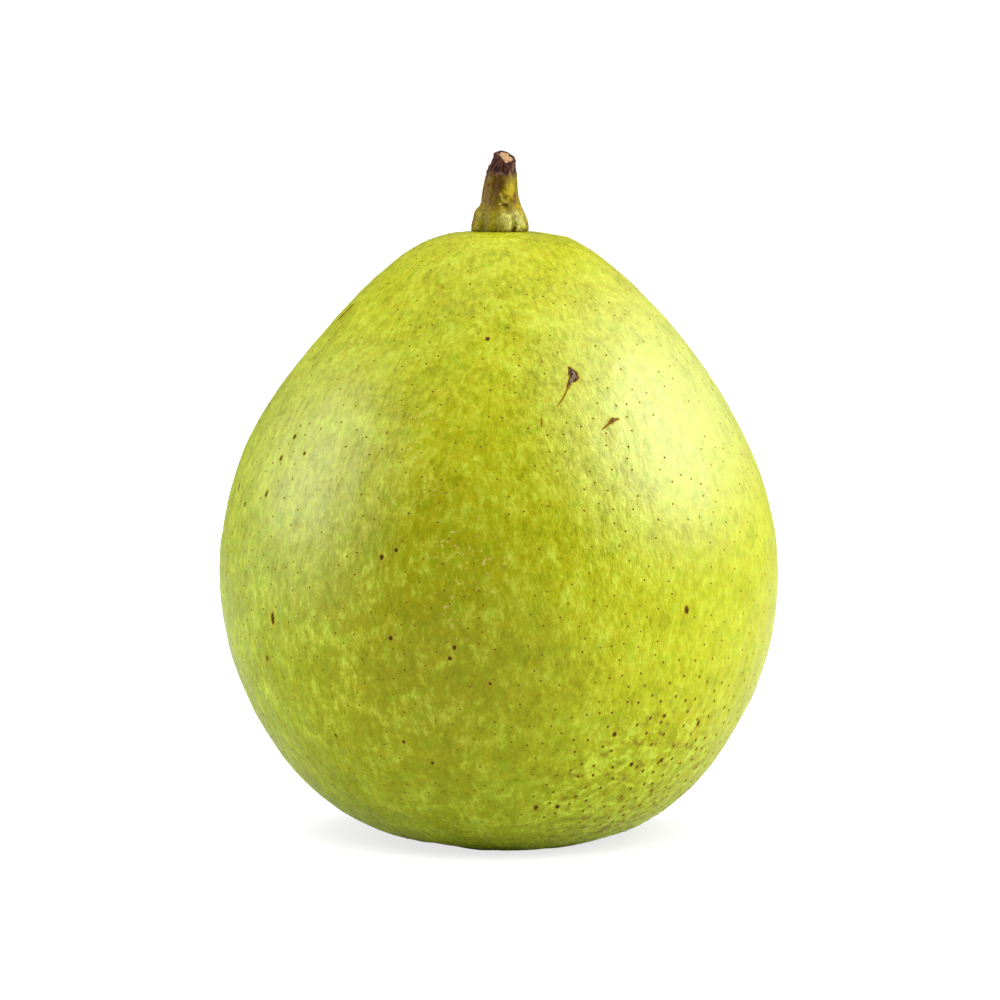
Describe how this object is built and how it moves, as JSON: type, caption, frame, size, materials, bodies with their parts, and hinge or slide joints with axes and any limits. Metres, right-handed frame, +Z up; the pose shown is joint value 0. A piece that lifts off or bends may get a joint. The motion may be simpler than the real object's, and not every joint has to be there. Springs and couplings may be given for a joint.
{
  "type": "pear",
  "caption": "Whole round dessert pear with a short woody stem on top and a dried calyx in the hollow underneath, standing on its lobed base.",
  "frame": {"origin": "on the ground, under the middle of the fruit", "axes": "+Z up through the core to the stem, -Y towards the front, +X to the right"},
  "size_m": [0.0819, 0.0794, 0.0999],
  "materials": {
    "fruit_skin": "waxy yellow-green skin with small brown dots",
    "stem_bark": "olive to dark brown bark, pale where it is cut",
    "dried_calyx": "dry and dull dark brown"
  },
  "bodies": {
    "root": {"fruit": "fruit_skin", "stem": "stem_bark", "calyx": "dried_calyx"}
  },
  "joints": []
}
